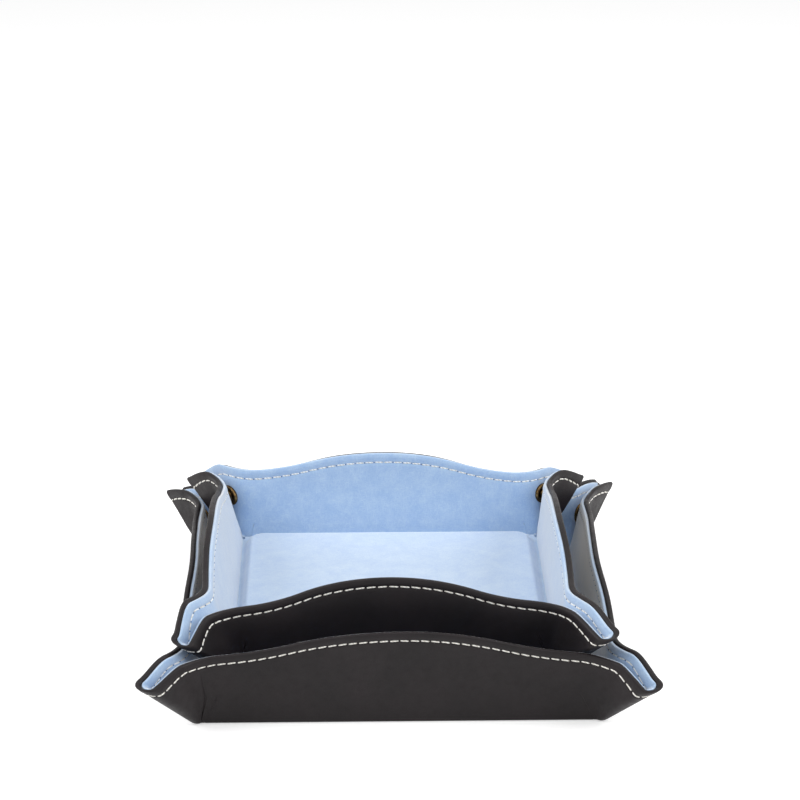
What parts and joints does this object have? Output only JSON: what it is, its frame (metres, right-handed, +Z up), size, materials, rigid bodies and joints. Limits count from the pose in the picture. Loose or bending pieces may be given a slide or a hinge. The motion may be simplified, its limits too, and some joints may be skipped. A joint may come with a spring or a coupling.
{
  "type": "valet tray set",
  "caption": "Nested pair of square valet trays in black leather with blue felt lining: corners pinched into ears and held by press studs, walls fold down flat, small tray lifts out.",
  "frame": {"origin": "on the surface that the set stands on, under the middle of the large tray", "axes": "+Z up, -Y out of the front wall, +X to the right seen from the front"},
  "size_m": [0.2204, 0.2204, 0.0621],
  "materials": {
    "black_leather": "satin, fine grain",
    "blue_felt": "napped",
    "grey_board": "matt",
    "antique_brass": "darkened, polished"
  },
  "bodies": {
    "large_base": {"large_base_leather": "black_leather", "large_base_board": "grey_board", "large_base_lining": "blue_felt"},
    "large_front_wall": {"large_front_wall_leather": "black_leather", "large_front_wall_lining": "blue_felt"},
    "large_front_left_ear_half": {"large_front_ear_at_left": "black_leather", "large_snap_stud_front_left": "antique_brass"},
    "large_front_right_ear_half": {"large_front_ear_at_right": "black_leather", "large_snap_stud_front_right": "antique_brass"},
    "large_right_wall": {"large_right_wall_leather": "black_leather", "large_right_wall_lining": "blue_felt"},
    "large_right_front_ear_half": {"large_right_ear_at_front": "black_leather", "large_snap_socket_front_right": "antique_brass"},
    "large_right_back_ear_half": {"large_right_ear_at_back": "black_leather", "large_snap_socket_back_right": "antique_brass"},
    "large_back_wall": {"large_back_wall_leather": "black_leather", "large_back_wall_lining": "blue_felt"},
    "large_back_right_ear_half": {"large_back_ear_at_right": "black_leather", "large_snap_stud_back_right": "antique_brass"},
    "large_back_left_ear_half": {"large_back_ear_at_left": "black_leather", "large_snap_stud_back_left": "antique_brass"},
    "large_left_wall": {"large_left_wall_leather": "black_leather", "large_left_wall_lining": "blue_felt"},
    "large_left_back_ear_half": {"large_left_ear_at_back": "black_leather", "large_snap_socket_back_left": "antique_brass"},
    "large_left_front_ear_half": {"large_left_ear_at_front": "black_leather", "large_snap_socket_front_left": "antique_brass"},
    "small_base": {"small_base_leather": "black_leather", "small_base_board": "grey_board", "small_base_lining": "blue_felt"},
    "small_front_wall": {"small_front_wall_leather": "black_leather", "small_front_wall_lining": "blue_felt"},
    "small_front_left_ear_half": {"small_front_ear_at_left": "black_leather", "small_snap_stud_front_left": "antique_brass"},
    "small_front_right_ear_half": {"small_front_ear_at_right": "black_leather", "small_snap_stud_front_right": "antique_brass"},
    "small_right_wall": {"small_right_wall_leather": "black_leather", "small_right_wall_lining": "blue_felt"},
    "small_right_front_ear_half": {"small_right_ear_at_front": "black_leather", "small_snap_socket_front_right": "antique_brass"},
    "small_right_back_ear_half": {"small_right_ear_at_back": "black_leather", "small_snap_socket_back_right": "antique_brass"},
    "small_back_wall": {"small_back_wall_leather": "black_leather", "small_back_wall_lining": "blue_felt"},
    "small_back_right_ear_half": {"small_back_ear_at_right": "black_leather", "small_snap_stud_back_right": "antique_brass"},
    "small_back_left_ear_half": {"small_back_ear_at_left": "black_leather", "small_snap_stud_back_left": "antique_brass"},
    "small_left_wall": {"small_left_wall_leather": "black_leather", "small_left_wall_lining": "blue_felt"},
    "small_left_back_ear_half": {"small_left_ear_at_back": "black_leather", "small_snap_socket_back_left": "antique_brass"},
    "small_left_front_ear_half": {"small_left_ear_at_front": "black_leather", "small_snap_socket_front_left": "antique_brass"}
  },
  "joints": [
    {"name": "large_front_fold", "type": "hinge", "parent": "large_base", "child": "large_front_wall", "pos_m": [0, -0.088, 0], "axis": [1, 0, 0], "range_deg": [0, 81.5]},
    {"name": "large_front_left_ear_turn", "type": "hinge", "parent": "large_front_wall", "child": "large_front_left_ear_half", "pos_m": [-0.08022, -0.088, 0], "axis": [0.1462, 0.1462, -0.9784], "range_deg": [0, 45.64]},
    {"name": "large_front_right_ear_turn", "type": "hinge", "parent": "large_front_wall", "child": "large_front_right_ear_half", "pos_m": [0.08022, -0.088, 0], "axis": [0.1462, -0.1462, 0.9784], "range_deg": [0, 45.64]},
    {"name": "large_right_fold", "type": "hinge", "parent": "large_base", "child": "large_right_wall", "pos_m": [0.088, 0, 0], "axis": [0, 1, 0], "range_deg": [0, 81.51]},
    {"name": "large_right_front_ear_turn", "type": "hinge", "parent": "large_right_wall", "child": "large_right_front_ear_half", "pos_m": [0.088, -0.08022, 0], "axis": [-0.1462, 0.1462, -0.9784], "range_deg": [0, 45.64]},
    {"name": "large_right_back_ear_turn", "type": "hinge", "parent": "large_right_wall", "child": "large_right_back_ear_half", "pos_m": [0.088, 0.08022, 0], "axis": [0.1462, 0.1462, 0.9784], "range_deg": [0, 45.64]},
    {"name": "large_back_fold", "type": "hinge", "parent": "large_base", "child": "large_back_wall", "pos_m": [0, 0.088, 0], "axis": [-1, 0, 0], "range_deg": [0, 81.51]},
    {"name": "large_back_right_ear_turn", "type": "hinge", "parent": "large_back_wall", "child": "large_back_right_ear_half", "pos_m": [0.08022, 0.088, 0], "axis": [-0.1462, -0.1462, -0.9784], "range_deg": [0, 45.64]},
    {"name": "large_back_left_ear_turn", "type": "hinge", "parent": "large_back_wall", "child": "large_back_left_ear_half", "pos_m": [-0.08022, 0.088, 0], "axis": [-0.1462, 0.1462, 0.9784], "range_deg": [0, 45.64]},
    {"name": "large_left_fold", "type": "hinge", "parent": "large_base", "child": "large_left_wall", "pos_m": [-0.088, 0, 0], "axis": [0, -1, 0], "range_deg": [0, 81.51]},
    {"name": "large_left_back_ear_turn", "type": "hinge", "parent": "large_left_wall", "child": "large_left_back_ear_half", "pos_m": [-0.088, 0.08022, 0], "axis": [0.1462, -0.1462, -0.9784], "range_deg": [0, 45.64]},
    {"name": "large_left_front_ear_turn", "type": "hinge", "parent": "large_left_wall", "child": "large_left_front_ear_half", "pos_m": [-0.088, -0.08022, 0], "axis": [-0.1462, -0.1462, 0.9784], "range_deg": [0, 45.64]},
    {"name": "small_lift", "type": "slide", "parent": "large_base", "child": "small_base", "axis": [0, 0, 1], "range_m": [0, 0.12]},
    {"name": "small_front_fold", "type": "hinge", "parent": "small_base", "child": "small_front_wall", "pos_m": [-0.0008, -0.073, 0.01651], "axis": [1, 0, 0], "range_deg": [0, 87.01]},
    {"name": "small_front_left_ear_turn", "type": "hinge", "parent": "small_front_wall", "child": "small_front_left_ear_half", "pos_m": [-0.06602, -0.073, 0.01651], "axis": [0.0523, 0.0523, -0.9973], "range_deg": [0, 45.09]},
    {"name": "small_front_right_ear_turn", "type": "hinge", "parent": "small_front_wall", "child": "small_front_right_ear_half", "pos_m": [0.06442, -0.073, 0.01651], "axis": [0.0523, -0.0523, 0.9973], "range_deg": [0, 45.09]},
    {"name": "small_right_fold", "type": "hinge", "parent": "small_base", "child": "small_right_wall", "pos_m": [0.0722, 0, 0.01651], "axis": [0, 1, 0], "range_deg": [0, 87.01]},
    {"name": "small_right_front_ear_turn", "type": "hinge", "parent": "small_right_wall", "child": "small_right_front_ear_half", "pos_m": [0.0722, -0.06522, 0.01651], "axis": [-0.0523, 0.0523, -0.9973], "range_deg": [0, 45.09]},
    {"name": "small_right_back_ear_turn", "type": "hinge", "parent": "small_right_wall", "child": "small_right_back_ear_half", "pos_m": [0.0722, 0.06522, 0.01651], "axis": [0.0523, 0.0523, 0.9973], "range_deg": [0, 45.09]},
    {"name": "small_back_fold", "type": "hinge", "parent": "small_base", "child": "small_back_wall", "pos_m": [-0.0008, 0.073, 0.01651], "axis": [-1, 0, 0], "range_deg": [0, 87.01]},
    {"name": "small_back_right_ear_turn", "type": "hinge", "parent": "small_back_wall", "child": "small_back_right_ear_half", "pos_m": [0.06442, 0.073, 0.01651], "axis": [-0.0523, -0.0523, -0.9973], "range_deg": [0, 45.09]},
    {"name": "small_back_left_ear_turn", "type": "hinge", "parent": "small_back_wall", "child": "small_back_left_ear_half", "pos_m": [-0.06602, 0.073, 0.01651], "axis": [-0.0523, 0.0523, 0.9973], "range_deg": [0, 45.09]},
    {"name": "small_left_fold", "type": "hinge", "parent": "small_base", "child": "small_left_wall", "pos_m": [-0.0738, 0, 0.01651], "axis": [0, -1, 0], "range_deg": [0, 87.01]},
    {"name": "small_left_back_ear_turn", "type": "hinge", "parent": "small_left_wall", "child": "small_left_back_ear_half", "pos_m": [-0.0738, 0.06522, 0.01651], "axis": [0.0523, -0.0523, -0.9973], "range_deg": [0, 45.09]},
    {"name": "small_left_front_ear_turn", "type": "hinge", "parent": "small_left_wall", "child": "small_left_front_ear_half", "pos_m": [-0.0738, -0.06522, 0.01651], "axis": [-0.0523, -0.0523, 0.9973], "range_deg": [0, 45.09]}
  ],
  "couplings": [
    {"joint": "large_front_left_ear_turn", "follows": "large_front_fold", "ratio": 0.55983},
    {"joint": "large_front_right_ear_turn", "follows": "large_front_fold", "ratio": 0.55983},
    {"joint": "large_right_fold", "follows": "large_front_fold", "ratio": 1},
    {"joint": "large_right_front_ear_turn", "follows": "large_front_fold", "ratio": 0.55983},
    {"joint": "large_right_back_ear_turn", "follows": "large_front_fold", "ratio": 0.55983},
    {"joint": "large_back_fold", "follows": "large_front_fold", "ratio": 1},
    {"joint": "large_back_right_ear_turn", "follows": "large_front_fold", "ratio": 0.55983},
    {"joint": "large_back_left_ear_turn", "follows": "large_front_fold", "ratio": 0.55983},
    {"joint": "large_left_fold", "follows": "large_front_fold", "ratio": 1},
    {"joint": "large_left_back_ear_turn", "follows": "large_front_fold", "ratio": 0.55983},
    {"joint": "large_left_front_ear_turn", "follows": "large_front_fold", "ratio": 0.55983},
    {"joint": "small_front_fold", "follows": "large_front_fold", "ratio": 1.0675},
    {"joint": "small_front_left_ear_turn", "follows": "large_front_fold", "ratio": 0.55311},
    {"joint": "small_front_right_ear_turn", "follows": "large_front_fold", "ratio": 0.55311},
    {"joint": "small_right_fold", "follows": "large_front_fold", "ratio": 1.0675},
    {"joint": "small_right_front_ear_turn", "follows": "large_front_fold", "ratio": 0.55311},
    {"joint": "small_right_back_ear_turn", "follows": "large_front_fold", "ratio": 0.55311},
    {"joint": "small_back_fold", "follows": "large_front_fold", "ratio": 1.0675},
    {"joint": "small_back_right_ear_turn", "follows": "large_front_fold", "ratio": 0.55311},
    {"joint": "small_back_left_ear_turn", "follows": "large_front_fold", "ratio": 0.55311},
    {"joint": "small_left_fold", "follows": "large_front_fold", "ratio": 1.0675},
    {"joint": "small_left_back_ear_turn", "follows": "large_front_fold", "ratio": 0.55311},
    {"joint": "small_left_front_ear_turn", "follows": "large_front_fold", "ratio": 0.55311}
  ]
}
